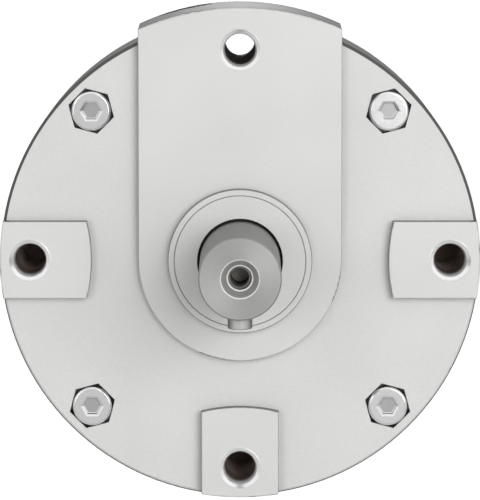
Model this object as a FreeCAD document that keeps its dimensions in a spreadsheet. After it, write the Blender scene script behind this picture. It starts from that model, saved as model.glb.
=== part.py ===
import FreeCAD, Part
import os
import Sketcher
from FreeCAD import Placement, Rotation, Vector

# A single-vane rotary actuator. +X is right, +Z is up and the output shaft points along -Y.
# The origin is on the shaft's axis, in the plane of the mounting pads.
doc = FreeCAD.newDocument("rotary_actuator")

# Driving dimensions, in millimetres and degrees
DRIVING = {
    # shaft and its output key
    "shaft_diameter": 20, "shaft_projection": 40, "shaft_setback": 1, "shaft_chamfer": 0.3,
    "key_width": 6, "key_height": 6, "key_sink": 3.5, "key_length": 32, "key_setback": 2.5,
    "centre_core": 5, "centre_bore": 6.4, "centre_mouth": 9.6,
    "centre_core_depth": 16, "centre_bore_depth": 5, "centre_cone_depth": 2.8,
    # vane, its hub and its seal
    "seat_step": 2, "hub_wall": 5, "vane_half_angle": 20,
    "hub_key_length": 14, "vane_seal_width": 5, "vane_seal_depth": 2.5,
    # bearings and shaft seals
    "bush_wall": 2, "lip_gap": 0.7, "lip_thickness": 2.4, "seal_wall": 5, "seal_length": 4.4,
    "seal_lip": 1.3, "seal_heel": 1.6, "washer_thickness": 1,
    # clearances
    "running_gap": 0.03, "fit_gap": 0.02, "seal_gap": 0.08, "side_gap": 0.1, "vane_gap": 0.4,
    # casing, across the shaft
    "body_diameter": 120, "rim_width": 7.5, "chamber_wall": 9.5, "edge_break": 0.7,
    "crown_height": 3, "crown_drop": 0.5, "block_flare": 0.9,
    "spigot_wall": 6, "spigot_edge": 0.2, "spigot_rim": 1.45, "rim_groove": 0.3,
    "tongue_margin": 7.4, "land_edge": 0.4, "cover_inset": 1.5, "cover_edge": 2,
    # casing, along the shaft
    "spigot_height": 2.8, "land_height": 3, "front_wall": 10, "chamber_length": 22,
    "register_length": 2, "cover_thickness": 16, "recess_depth": 5,
    # mounting pads and their tapped holes
    "pad_width": 19.4, "pad_reach": 22.9, "pad_nose_radius": 40, "lug_hole": 8.5, "lug_mouth": 10.5,
    # casing screws and nuts
    "screw_diameter": 6, "screw_gap": 0.2, "head_diameter": 9.8, "head_height": 6, "head_proud": 1,
    "head_bevel": 0.5, "socket_width": 5, "socket_depth": 3, "pocket_width": 10.2,
    "nut_width": 10, "nut_height": 5, "nut_depth": 6,
    # air ports
    "port_bore": 8.8, "port_depth": 8, "port_back": 8, "spotface_diameter": 14, "spotface_depth": 2.1,
    "passage_diameter": 4, "passage_inset": 4, "passage_step": 4,
    # stator, its seal, pins and bumpers
    "stator_half_angle": 17, "stator_seal_width": 5, "stator_seal_depth": 3, "bumper_angle": 7.3,
    "bumper_foot": 5, "bumper_head": 8, "bumper_inset": 3,
    "dowel_diameter": 4, "dowel_depth": 4, "dowel_angle": 9,
    # joint ring and shaft retainer
    "ring_section": 2, "ring_offset": 3, "ring_groove_width": 2.6,
    "clip_thickness": 1.2, "clip_groove": 0.6, "clip_width": 2.6, "clip_gap": 5,
    "ear_diameter": 4.8, "ear_hole": 1.6, "ear_angle": 22, "collar_width": 5,
    # cored pockets in the rear cover
    "core_depth": 8, "core_margin": 4, "core_rim": 14, "core_half_angle": 17, "core_corner": 2,
}

# The casing screws sit at this angle, and their hexagons are turned so that two flats face the shaft
SCREW_ANGLE = 45
FLATS_TO_SHAFT = SCREW_ANGLE - 30
# An edge this near to a plane or a circle lies on it
TOUCHING = 1e-4

sizes = doc.addObject("Spreadsheet::Sheet", "Sizes")
for row, (alias, size) in enumerate(DRIVING.items(), 1):
    sizes.set(f"A{row}", alias)
    sizes.set(f"B{row}", str(size))
    sizes.setAlias(f"B{row}", alias)

# Radii from the shaft outwards, then places along the shaft from the front to the rear
STACKED = {
    "journal_radius": "Sizes.shaft_diameter / 2",
    "bush_radius": "journal_radius + Sizes.bush_wall",
    "seal_radius": "journal_radius + Sizes.seal_wall",
    "seat_radius": "journal_radius + Sizes.seat_step",
    "hub_radius": "seat_radius + Sizes.hub_wall",
    "body_radius": "Sizes.body_diameter / 2",
    "bolt_radius": "body_radius - Sizes.rim_width",
    "chamber_radius": "bolt_radius - Sizes.chamber_wall",
    "crown_radius": "body_radius + Sizes.crown_height",
    "spigot_radius": "bush_radius + Sizes.spigot_wall",
    "tongue_radius": "spigot_radius + Sizes.tongue_margin",
    "cover_radius": "body_radius - Sizes.cover_inset",
    "collar_radius": "journal_radius + Sizes.collar_width",
    "recess_radius": "collar_radius + Sizes.collar_width / 2",
    "stator_radius": "hub_radius + Sizes.vane_gap",
    "passage_radius": "chamber_radius - Sizes.passage_inset",
    "passage_angle": "Sizes.stator_half_angle + Sizes.passage_step",
    "passage_x": "passage_radius * sin(passage_angle)",
    "passage_z": "passage_radius * cos(passage_angle)",
    "dowel_radius": "(hub_radius + chamber_radius) / 2",
    "dowel_x": "dowel_radius * sin(Sizes.dowel_angle)",
    "dowel_z": "dowel_radius * cos(Sizes.dowel_angle)",
    "bolt_place": f"bolt_radius * cos({SCREW_ANGLE})",
    "ring_radius": "chamber_radius + Sizes.ring_offset",
    "clip_radius": "journal_radius - Sizes.clip_groove + Sizes.clip_width",
    "ear_x": "clip_radius * sin(Sizes.ear_angle)",
    "ear_z": "clip_radius * cos(Sizes.ear_angle)",
    "spigot_face": "-Sizes.spigot_height",
    "shaft_front": "spigot_face - Sizes.shaft_projection",
    "lip_end": "spigot_face + Sizes.lip_thickness",
    "disc_face": "Sizes.land_height",
    "head_seat": "disc_face + Sizes.head_height - Sizes.head_proud",
    "chamber_front": "disc_face + Sizes.front_wall",
    "front_seal_start": "chamber_front - Sizes.washer_thickness - Sizes.seal_length",
    "chamber_rear": "chamber_front + Sizes.chamber_length",
    "rear_seal_end": "chamber_rear + Sizes.washer_thickness + Sizes.seal_length",
    "joint_face": "chamber_rear + Sizes.register_length",
    "rear_face": "joint_face + Sizes.cover_thickness",
    "recess_floor": "rear_face - Sizes.recess_depth",
    "nut_seat": "rear_face - Sizes.nut_depth",
    "port_place": "rear_face - Sizes.port_back",
    "shaft_rear": "rear_face - Sizes.shaft_setback",
    "seat_front": "chamber_front + Sizes.side_gap",
    "seat_rear": "chamber_rear - Sizes.side_gap",
    "collar_front": "recess_floor + Sizes.side_gap",
    "clip_front": "collar_front + Sizes.washer_thickness",
    "clip_rear": "clip_front + Sizes.clip_thickness",
    "land_root": "disc_face + Sizes.front_wall / 2",
    "block_share": "(joint_face - land_root) / (rear_face - land_root)",
    "crown_at_joint": "crown_radius - Sizes.crown_drop * block_share",
    "crown_at_rear": "crown_radius - Sizes.crown_drop",
    "block_at_joint": "tongue_radius + Sizes.block_flare * block_share",
    "block_at_rear": "tongue_radius + Sizes.block_flare",
}
stack = doc.addObject("Spreadsheet::Sheet", "Stack")
for row, (alias, formula) in enumerate(STACKED.items(), 1):
    stack.set(f"A{row}", alias)
    stack.set(f"B{row}", "=" + formula)
    stack.setAlias(f"B{row}", alias)
doc.recompute()


# Helpers for sketches whose every corner is bound to the sheets
def number(expression):
    return float(stack.evalExpression(expression))


def origin_item(body, role):
    return next(item for item in body.Origin.OriginFeatures if item.Role == role)


def new_body(label):
    body = doc.addObject("PartDesign::Body", label)
    body.Label = label
    return body


def new_sketch(body, name, role, height="0"):
    """A sketch on one of the body's own planes; height is measured along that plane's normal."""
    sketch = body.newObject("Sketcher::SketchObject", f"{body.Name}_{name}")
    sketch.AttachmentSupport = (origin_item(body, role), [""])
    sketch.MapMode = "FlatFace"
    sketch.setExpression("AttachmentOffset.Base.z", height)
    return sketch


def facing(body, name, place):
    """A sketch across the shaft, in X and Z, at a place along Y."""
    return new_sketch(body, name, "XZ_Plane", f"-({place})")


def bind(sketch, constraint, name, expression):
    index = sketch.addConstraint(constraint)
    sketch.renameConstraint(index, name)
    sketch.setExpression(f"Constraints.{name}", expression)


def pin_point(sketch, edge, end, x, y, name):
    """Holds one end of an edge at two bound coordinates."""
    for kind, axis, expression in (("DistanceX", -2, x), ("DistanceY", -1, y)):
        if expression == "0":
            sketch.addConstraint(Sketcher.Constraint("PointOnObject", edge, end, axis))
        else:
            distance = Sketcher.Constraint(kind, -1, 1, edge, end, number(expression))
            bind(sketch, distance, f"{kind}_{name}", expression)


def outline(sketch, corners):
    """Closes a loop through the corners, each (x, y) or (x, y, turn, radius).

    With a turn the edge that leaves the corner is an arc of less than half a circle, which runs
    counter-clockwise where turn is "left" and clockwise where it is "right".
    """
    points = [Vector(number(corner[0]), number(corner[1]), 0) for corner in corners]
    first = sketch.GeometryCount
    ends = []
    for index, corner in enumerate(corners):
        start = points[index]
        stop = points[(index + 1) % len(corners)]
        if len(corner) == 2:
            sketch.addGeometry(Part.LineSegment(start, stop))
            ends.append((1, 2))
            continue
        radius = number(corner[3])
        chord = stop - start
        left = Vector(-chord.y, chord.x, 0).normalize()
        side = 1 if corner[2] == "left" else -1
        reach = max(radius ** 2 - (chord.Length / 2) ** 2, 0) ** 0.5
        centre = (start + stop) / 2 + left * side * reach
        middle = centre + ((start + stop) / 2 - centre).normalize() * radius
        if corner[2] == "left":
            sketch.addGeometry(Part.Arc(start, middle, stop))
            ends.append((1, 2))
        else:
            sketch.addGeometry(Part.Arc(stop, middle, start))
            ends.append((2, 1))
    for index, corner in enumerate(corners):
        follower = (index + 1) % len(corners)
        joint = (first + index, ends[index][1], first + follower, ends[follower][0])
        sketch.addConstraint(Sketcher.Constraint("Coincident", *joint))
        pin_point(sketch, first + index, ends[index][0], corner[0], corner[1], f"c{first + index}")
        if len(corner) == 4:
            round_edge = Sketcher.Constraint("Radius", first + index, number(corner[3]))
            bind(sketch, round_edge, f"radius_c{first + index}", corner[3])
    return sketch


def circle(sketch, x, y, radius):
    centre = Vector(number(x), number(y), 0)
    edge = sketch.addGeometry(Part.Circle(centre, Vector(0, 0, 1), number(radius)))
    pin_point(sketch, edge, 3, x, y, f"c{edge}")
    bind(sketch, Sketcher.Constraint("Radius", edge, number(radius)), f"radius_c{edge}", radius)
    return sketch


def hexagon(sketch, x, y, width, first_corner):
    """A regular hexagon by its width across flats and the angle of its first corner."""
    arm = f"({width}) / 2 / cos(30)"
    turns = [first_corner + 60 * step for step in range(6)]
    return outline(sketch, [(f"{x} + {arm} * cos({a})", f"{y} + {arm} * sin({a})") for a in turns])


def sector(sketch, inner, outer, start, stop):
    """A ring sector between two angles, measured clockwise from +Z as seen from the front."""
    return outline(sketch, [
        (f"{outer} * sin({start})", f"{outer} * cos({start})", "right", outer),
        (f"{outer} * sin({stop})", f"{outer} * cos({stop})"),
        (f"{inner} * sin({stop})", f"{inner} * cos({stop})", "left", inner),
        (f"{inner} * sin({start})", f"{inner} * cos({start})"),
    ])


def round_slot(sketch, width, start, stop):
    """A slot with round ends along the sketch's second axis."""
    half = f"({width}) / 2"
    return outline(sketch, [
        (half, f"{start} + {half}"),
        (half, f"{stop} - {half}", "left", half),
        ("0", stop, "left", half),
        (f"-{half}", f"{stop} - {half}"),
        (f"-{half}", f"{start} + {half}", "left", half),
        ("0", start, "left", half),
    ])


# Helpers for features
def add_feature(body, kind, name, **settings):
    """Adds a feature; a setting given as text, apart from its side, is bound as an expression."""
    feature = body.newObject(f"PartDesign::{kind}", f"{body.Name}_{name}")
    for key, setting in settings.items():
        if isinstance(setting, str) and key != "SideType":
            feature.setExpression(key, setting)
        else:
            setattr(feature, key, setting)
    doc.recompute()
    return feature


def pad(body, name, sketch, length, backwards=False, side="One side"):
    return add_feature(body, "Pad", name, Profile=sketch, Length=length, Reversed=backwards,
                       SideType=side)


def pocket(body, name, sketch, length, backwards=False, side="One side"):
    """Cuts a sketch into the body and makes sure that it took something away."""
    before = body.Shape.Volume
    feature = add_feature(body, "Pocket", name, Profile=sketch, Length=length, Reversed=backwards,
                          SideType=side)
    if body.Shape.Volume >= before:
        raise RuntimeError(f"{feature.Name} cuts nothing")
    return feature


def turned(body, name, corners, kind="Revolution"):
    """Revolves a half section, given as (radius, place along the shaft) corners."""
    sketch = outline(new_sketch(body, f"{name}_section", "XY_Plane"), corners)
    return add_feature(body, kind, name, Profile=sketch, ReferenceAxis=(sketch, ["V_Axis"]), Angle=360)


def round_pattern(body, name, originals, count, angle=360, backwards=False):
    """Repeats features round the shaft's axis."""
    pattern = add_feature(body, "PolarPattern", name, Originals=originals, Angle=angle,
                          Axis=(origin_item(body, "Y_Axis"), [""]), Occurrences=count,
                          Reversed=backwards)
    body.Tip = pattern
    doc.recompute()
    return pattern


def ring(label, inner, outer, start, stop):
    body = new_body(label)
    turned(body, "ring", [(inner, start), (outer, start), (outer, stop), (inner, stop)])
    return body


def lip_seal(label, closed_end, open_end):
    """A U-cup whose lips point at the pressure side; its heel is at the closed end."""
    forward = 1 if number(open_end) > number(closed_end) else -1
    heel = f"{closed_end} + {forward} * Sizes.seal_heel"
    middle = "(Stack.journal_radius + Stack.seal_radius) / 2"
    body = new_body(label)
    turned(body, "cup", [
        ("Stack.journal_radius + 3 * Sizes.seal_gap", closed_end),
        ("Stack.seal_radius", closed_end),
        ("Stack.seal_radius", open_end),
        ("Stack.seal_radius - Sizes.seal_lip", open_end),
        (f"{middle} + Sizes.seal_lip / 4", heel),
        (f"{middle} - Sizes.seal_lip / 4", heel),
        ("Stack.journal_radius + Sizes.seal_lip", open_end),
        ("Stack.journal_radius + Sizes.seal_gap", open_end),
    ])
    return body


def block_section(body, name, place, half_width, crown):
    """The port block's section: flat sides and a crown round the shaft's axis."""
    shoulder = f"sqrt({crown} ^ 2 - ({half_width}) ^ 2)"
    return outline(facing(body, name, place), [
        (f"-({half_width})", "Stack.chamber_radius"),
        (half_width, "Stack.chamber_radius"),
        (half_width, shoulder, "left", crown),
        ("0", crown, "left", crown),
        (f"-({half_width})", shoulder),
    ])


def screw_holes(body, start, depth, pocket_start, pocket_depth, pocket_width, backwards):
    """Four clearance holes, each with a hexagonal pocket whose flats face the shaft."""
    hole_sketch = circle(facing(body, "screw_hole_outline", start), "Stack.bolt_place", "Stack.bolt_place",
                         "Sizes.screw_diameter / 2 + Sizes.screw_gap")
    hole = pocket(body, "screw_hole", hole_sketch, depth)
    hex_sketch = hexagon(facing(body, "screw_pocket_outline", pocket_start), "Stack.bolt_place",
                         "Stack.bolt_place", pocket_width, FLATS_TO_SHAFT)
    hex_pocket = pocket(body, "screw_pocket", hex_sketch, pocket_depth, backwards)
    round_pattern(body, "screw_holes", [hole, hex_pocket], 4)


def dowel_circles(sketch, radius):
    """Two pins side by side, halfway between the hub and the chamber's wall."""
    for side in ("-", ""):
        circle(sketch, f"{side}Stack.dowel_x", "Stack.dowel_z", radius)
    return sketch


DOWEL_HOLE = "Sizes.dowel_diameter / 2 + Sizes.fit_gap"


def make_front_housing():
    """The cast cup: disc, tongue, pads and spigot in front, the vane's chamber behind."""
    body = new_body("front_housing")
    # A fine V-groove parts the spigot's flat rim from the rest of its face
    rim_root = "Stack.spigot_radius - Sizes.spigot_rim"
    turned(body, "casting", [
        ("0", "Stack.spigot_face"),
        (f"{rim_root} - Sizes.rim_groove", "Stack.spigot_face"),
        (f"{rim_root} - Sizes.rim_groove / 2", "Stack.spigot_face + Sizes.rim_groove"),
        (rim_root, "Stack.spigot_face"),
        ("Stack.spigot_radius - Sizes.spigot_edge", "Stack.spigot_face"),
        ("Stack.spigot_radius", "Stack.spigot_face + Sizes.spigot_edge"),
        ("Stack.spigot_radius", "Stack.disc_face"),
        ("Stack.body_radius - Sizes.edge_break", "Stack.disc_face"),
        ("Stack.body_radius", "Stack.disc_face + Sizes.edge_break"),
        ("Stack.body_radius", "Stack.joint_face"),
        ("0", "Stack.joint_face"),
    ])
    front = block_section(body, "block_front", "Stack.land_root", "Stack.tongue_radius", "Stack.crown_radius")
    rear = block_section(body, "block_joint", "Stack.joint_face", "Stack.block_at_joint",
                         "Stack.crown_at_joint")
    add_feature(body, "AdditiveLoft", "block", Profile=front, Sections=[rear], Ruled=True)

    shoulder = "sqrt(Stack.crown_radius ^ 2 - Stack.tongue_radius ^ 2)"
    tongue = outline(facing(body, "tongue_outline", "0"), [
        ("0", "-Stack.tongue_radius", "left", "Stack.tongue_radius"),
        ("Stack.tongue_radius", "0"),
        ("Stack.tongue_radius", shoulder, "left", "Stack.crown_radius"),
        ("0", "Stack.crown_radius", "left", "Stack.crown_radius"),
        ("-Stack.tongue_radius", shoulder),
        ("-Stack.tongue_radius", "0", "left", "Stack.tongue_radius"),
    ])
    pad(body, "tongue", tongue, "Stack.land_root", backwards=True)

    half = "Sizes.pad_width / 2"
    nose_drop = f"(Sizes.pad_nose_radius - sqrt(Sizes.pad_nose_radius ^ 2 - ({half}) ^ 2))"
    inner = f"-(Stack.body_radius - Sizes.pad_reach + {nose_drop})"
    outer = f"-sqrt(Stack.body_radius ^ 2 - ({half}) ^ 2)"
    land = outline(facing(body, "pad_outline", "0"), [
        (outer, half, "left", "Stack.body_radius"),
        (outer, f"-({half})"),
        (inner, f"-({half})", "left", "Sizes.pad_nose_radius"),
        (inner, half),
    ])
    left_pad = pad(body, "left_pad", land, "Stack.land_root", backwards=True)
    round_pattern(body, "pads", [left_pad], 3, angle=180, backwards=True)

    edges = [f"Edge{index}" for index, edge in enumerate(body.Shape.Edges, 1)
             if max(abs(edge.BoundBox.YMin), abs(edge.BoundBox.YMax)) < TOUCHING
             and not round_the_spigot(edge)]
    add_feature(body, "Fillet", "land_edges", Base=(body.Tip, edges), Radius="Sizes.land_edge")

    turned(body, "bores", [
        ("0", "Stack.spigot_face - Sizes.lip_gap"),
        ("Stack.journal_radius + Sizes.lip_gap", "Stack.spigot_face - Sizes.lip_gap"),
        ("Stack.journal_radius + Sizes.lip_gap", "Stack.lip_end"),
        ("Stack.bush_radius + Sizes.fit_gap", "Stack.lip_end"),
        ("Stack.bush_radius + Sizes.fit_gap", "Stack.front_seal_start"),
        ("Stack.seal_radius + Sizes.fit_gap", "Stack.front_seal_start"),
        ("Stack.seal_radius + Sizes.fit_gap", "Stack.chamber_front"),
        ("Stack.chamber_radius", "Stack.chamber_front"),
        ("Stack.chamber_radius", "Stack.joint_face + Sizes.lip_gap"),
        ("0", "Stack.joint_face + Sizes.lip_gap"),
    ], kind="Groove")
    half_groove = "Sizes.ring_groove_width / 2"
    turned(body, "ring_groove", [
        (f"Stack.ring_radius - {half_groove}", "Stack.joint_face - Sizes.ring_section"),
        (f"Stack.ring_radius + {half_groove}", "Stack.joint_face - Sizes.ring_section"),
        (f"Stack.ring_radius + {half_groove}", "Stack.joint_face + Sizes.ring_section"),
        (f"Stack.ring_radius - {half_groove}", "Stack.joint_face + Sizes.ring_section"),
    ], kind="Groove")
    screw_holes(body, "Stack.disc_face", "Stack.joint_face", "Stack.disc_face",
                "Stack.head_seat - Stack.disc_face", "Sizes.pocket_width", backwards=False)

    lugs = facing(body, "lug_centres", "0")
    for x, z in ((0, 1), (1, 0), (0, -1), (-1, 0)):
        places = [f"{sign} * Stack.bolt_radius" if sign else "0" for sign in (x, z)]
        circle(lugs, *places, "Sizes.lug_hole / 2")
    doc.recompute()
    before = body.Shape.Volume
    holes = add_feature(body, "Hole", "lug_holes", Profile=lugs)
    holes.HoleCutType = "Countersink"
    holes.HoleCutCountersinkAngle = 90
    holes.setExpression("Diameter", "Sizes.lug_hole")
    holes.setExpression("HoleCutDiameter", "Sizes.lug_mouth")
    holes.DepthType = "ThroughAll"
    doc.recompute()
    if body.Shape.Volume >= before:
        raise RuntimeError("the lug holes cut nothing")

    dowels = dowel_circles(facing(body, "dowel_outline", "Stack.chamber_front"), DOWEL_HOLE)
    pocket(body, "dowel_holes", dowels, "Sizes.dowel_depth", backwards=True)
    return body


def round_the_spigot(edge):
    if edge.Curve.TypeId != "Part::GeomCircle":
        return False
    return abs(edge.Curve.Radius - number("Stack.spigot_radius")) < TOUCHING


def make_rear_cover():
    """The cast cover that closes the chamber, with the rear bearing and both air ports."""
    body = new_body("rear_cover")
    register = "Stack.chamber_radius - Sizes.fit_gap"
    turned(body, "casting", [
        ("0", "Stack.chamber_rear"),
        (register, "Stack.chamber_rear"),
        (register, "Stack.joint_face"),
        ("Stack.cover_radius", "Stack.joint_face"),
        ("Stack.cover_radius", "Stack.rear_face - Sizes.cover_edge", "left", "Sizes.cover_edge"),
        ("Stack.cover_radius - Sizes.cover_edge", "Stack.rear_face"),
        ("0", "Stack.rear_face"),
    ])
    joint = block_section(body, "block_joint", "Stack.joint_face", "Stack.block_at_joint",
                          "Stack.crown_at_joint")
    rear = block_section(body, "block_rear", "Stack.rear_face", "Stack.block_at_rear", "Stack.crown_at_rear")
    add_feature(body, "AdditiveLoft", "block", Profile=joint, Sections=[rear], Ruled=True)

    core = sector(facing(body, "core_outline", "Stack.rear_face"),
                  "(Stack.recess_radius + Sizes.core_margin)", "(Stack.bolt_radius - Sizes.core_rim)",
                  "(90 - Sizes.core_half_angle)", "(90 + Sizes.core_half_angle)")
    first_core = pocket(body, "core", core, "Sizes.core_depth", backwards=True)
    round_pattern(body, "cores", [first_core], 5, angle=180)
    core_floor = number("Stack.rear_face - Sizes.core_depth")
    corners = [f"Edge{index}" for index, edge in enumerate(body.Shape.Edges, 1)
               if edge.Curve.TypeId == "Part::GeomLine"
               and abs(edge.BoundBox.YMin - core_floor) < TOUCHING
               and abs(edge.Length - number("Sizes.core_depth")) < TOUCHING]
    add_feature(body, "Fillet", "core_corners", Base=(body.Tip, corners), Radius="Sizes.core_corner")

    turned(body, "bores", [
        ("0", "Stack.chamber_rear - Sizes.lip_gap"),
        ("Stack.seal_radius + Sizes.fit_gap", "Stack.chamber_rear - Sizes.lip_gap"),
        ("Stack.seal_radius + Sizes.fit_gap", "Stack.rear_seal_end"),
        ("Stack.bush_radius + Sizes.fit_gap", "Stack.rear_seal_end"),
        ("Stack.bush_radius + Sizes.fit_gap", "Stack.recess_floor"),
        ("Stack.recess_radius", "Stack.recess_floor"),
        ("Stack.recess_radius", "Stack.rear_face + Sizes.lip_gap"),
        ("0", "Stack.rear_face + Sizes.lip_gap"),
    ], kind="Groove")
    screw_holes(body, "Stack.joint_face", "Sizes.cover_thickness", "Stack.rear_face", "Sizes.nut_depth",
                "Sizes.pocket_width", backwards=True)
    lug = circle(facing(body, "lug_outline", "Stack.joint_face"), "0", "Stack.bolt_radius",
                 "Sizes.lug_hole / 2")
    pocket(body, "top_lug_hole", lug, "Sizes.cover_thickness")
    dowels = dowel_circles(facing(body, "dowel_outline", "Stack.chamber_rear"), DOWEL_HOLE)
    pocket(body, "dowel_holes", dowels, "Sizes.dowel_depth")

    # each chamber's passage, then the top port on the left and the rear port on the right
    passage = "Sizes.passage_diameter / 2"
    ways = facing(body, "passage_outline", "Stack.chamber_rear")
    for side in ("-", ""):
        circle(ways, f"{side}Stack.passage_x", "Stack.passage_z", passage)
    pocket(body, "passages", ways, f"Stack.port_place - Stack.chamber_rear + {passage}")
    rear_port = circle(facing(body, "rear_port_outline", "Stack.rear_face"), "Stack.passage_x",
                       "Stack.passage_z", "Sizes.port_bore / 2")
    pocket(body, "rear_port", rear_port, "Sizes.port_depth", backwards=True)

    crown = "sqrt(Stack.crown_at_rear ^ 2 - Stack.passage_x ^ 2)"
    for name, diameter, depth in (
        ("spotface", "Sizes.spotface_diameter", "Sizes.spotface_depth"),
        ("top_port", "Sizes.port_bore", "(Sizes.spotface_depth + Sizes.port_depth)"),
        ("top_passage", "Sizes.passage_diameter", f"({crown} - Stack.passage_z)"),
    ):
        mouth = new_sketch(body, f"{name}_outline", "XY_Plane", f"{crown} + Sizes.crown_height")
        circle(mouth, "-Stack.passage_x", "Stack.port_place", f"{diameter} / 2")
        pocket(body, name, mouth, f"{depth} + Sizes.crown_height")
    return body


def make_stator():
    """The fixed shoe between the two air chambers, pinned to both castings."""
    body = new_body("stator")
    shoe = sector(facing(body, "shoe_outline", "Stack.chamber_front"), "Stack.stator_radius",
                  "(Stack.chamber_radius - Sizes.fit_gap)", "(-Sizes.stator_half_angle)",
                  "Sizes.stator_half_angle")
    pad(body, "shoe", shoe, "Sizes.chamber_length", backwards=True)
    half = "Sizes.stator_seal_width / 2"
    groove = outline(facing(body, "seal_groove_outline", "Stack.chamber_front"), [
        (f"-{half}", "Stack.hub_radius - Sizes.hub_wall"),
        (half, "Stack.hub_radius - Sizes.hub_wall"),
        (half, "Stack.stator_radius + Sizes.stator_seal_depth"),
        (f"-{half}", "Stack.stator_radius + Sizes.stator_seal_depth"),
    ])
    pocket(body, "seal_groove", groove, "Sizes.chamber_length")
    dowels = dowel_circles(facing(body, "dowel_outline", "Stack.chamber_front"), DOWEL_HOLE)
    pocket(body, "dowel_holes", dowels, "Sizes.chamber_length")
    return body


def make_stator_seal():
    """The rubber strip in the stator's foot that wipes the turning hub."""
    body = new_body("stator_seal")
    half = "Sizes.stator_seal_width / 2"
    wiper = "(Stack.hub_radius + Sizes.seal_gap)"
    foot = f"sqrt({wiper} ^ 2 - ({half}) ^ 2)"
    strip = outline(facing(body, "strip_outline", "Stack.chamber_front"), [
        (f"-{half}", foot, "right", wiper),
        (half, foot),
        (half, "Stack.stator_radius + Sizes.stator_seal_depth"),
        (f"-{half}", "Stack.stator_radius + Sizes.stator_seal_depth"),
    ])
    pad(body, "strip", strip, "Sizes.chamber_length", backwards=True)
    return body


def make_stator_dowels():
    body = new_body("stator_dowels")
    pins = dowel_circles(facing(body, "pin_outline", "Stack.chamber_front - Sizes.dowel_depth"),
                         "Sizes.dowel_diameter / 2")
    pad(body, "pins", pins, "Sizes.chamber_length + 2 * Sizes.dowel_depth", backwards=True)
    return body


def make_bumper(label, start, stop):
    """A rubber pad bonded to one flank of the stator, which cushions the vane's stop."""
    body = new_body(label)
    cushion = sector(facing(body, "cushion_outline", "Stack.chamber_front + Sizes.bumper_inset"),
                     "(Stack.hub_radius + Sizes.bumper_foot)", "(Stack.chamber_radius - Sizes.bumper_head)",
                     start, stop)
    pad(body, "cushion", cushion, "Sizes.chamber_length - 2 * Sizes.bumper_inset", backwards=True)
    return body


def make_housing_ring():
    """The rubber ring that seals the joint between the two castings."""
    torus = doc.addObject("Part::Torus", "housing_o_ring")
    torus.Label = "housing_o_ring"
    torus.setExpression("Radius1", "Stack.ring_radius")
    torus.setExpression("Radius2", "Sizes.ring_section / 2")
    torus.Placement = Placement(Vector(0, 0, 0), Rotation(Vector(1, 0, 0), -90))
    torus.setExpression("Placement.Base.y", "Stack.joint_face - Sizes.ring_section / 2")
    return torus


def make_cap_screws():
    """Four hexagon-socket screws that clamp the castings, with their heads in front."""
    body = new_body("cap_screws")
    head = circle(facing(body, "head_outline", "Stack.head_seat"), "Stack.bolt_place", "Stack.bolt_place",
                  "Sizes.head_diameter / 2")
    head_pad = pad(body, "head", head, "Sizes.head_height")
    shank = circle(facing(body, "shank_outline", "Stack.head_seat"), "Stack.bolt_place", "Stack.bolt_place",
                   "Sizes.screw_diameter / 2")
    shank_pad = pad(body, "shank", shank, "Stack.rear_face - Stack.head_seat", backwards=True)
    round_pattern(body, "screws", [head_pad, shank_pad], 4)
    head_top = number("Stack.head_seat - Sizes.head_height")
    rims = [f"Edge{index}" for index, edge in enumerate(body.Shape.Edges, 1)
            if edge.BoundBox.YMax < head_top + TOUCHING]
    add_feature(body, "Chamfer", "head_rims", Base=(body.Tip, rims), Size="Sizes.head_bevel")
    sockets = facing(body, "socket_outline", "Stack.head_seat - Sizes.head_height")
    for x in ("-", ""):
        for z in ("-", ""):
            hexagon(sockets, f"{x}Stack.bolt_place", f"{z}Stack.bolt_place", "Sizes.socket_width", 0)
    pocket(body, "sockets", sockets, "Sizes.socket_depth")
    return body


def make_hex_nuts():
    """Four nuts in the rear cover's pockets."""
    body = new_body("hex_nuts")
    nut = hexagon(facing(body, "nut_outline", "Stack.nut_seat"), "Stack.bolt_place", "Stack.bolt_place",
                  "Sizes.nut_width", FLATS_TO_SHAFT)
    circle(nut, "Stack.bolt_place", "Stack.bolt_place", "Sizes.screw_diameter / 2 + Sizes.fit_gap")
    first_nut = pad(body, "nut", nut, "Sizes.nut_height", backwards=True)
    round_pattern(body, "nuts", [first_nut], 4)
    return body


KEY_START = "(Stack.shaft_front + Sizes.key_setback)"
HUB_KEY_START = "((Stack.chamber_front + Stack.chamber_rear - Sizes.hub_key_length) / 2)"
HUB_KEY_FOOT = "(Stack.seat_radius - Sizes.key_sink)"


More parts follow.
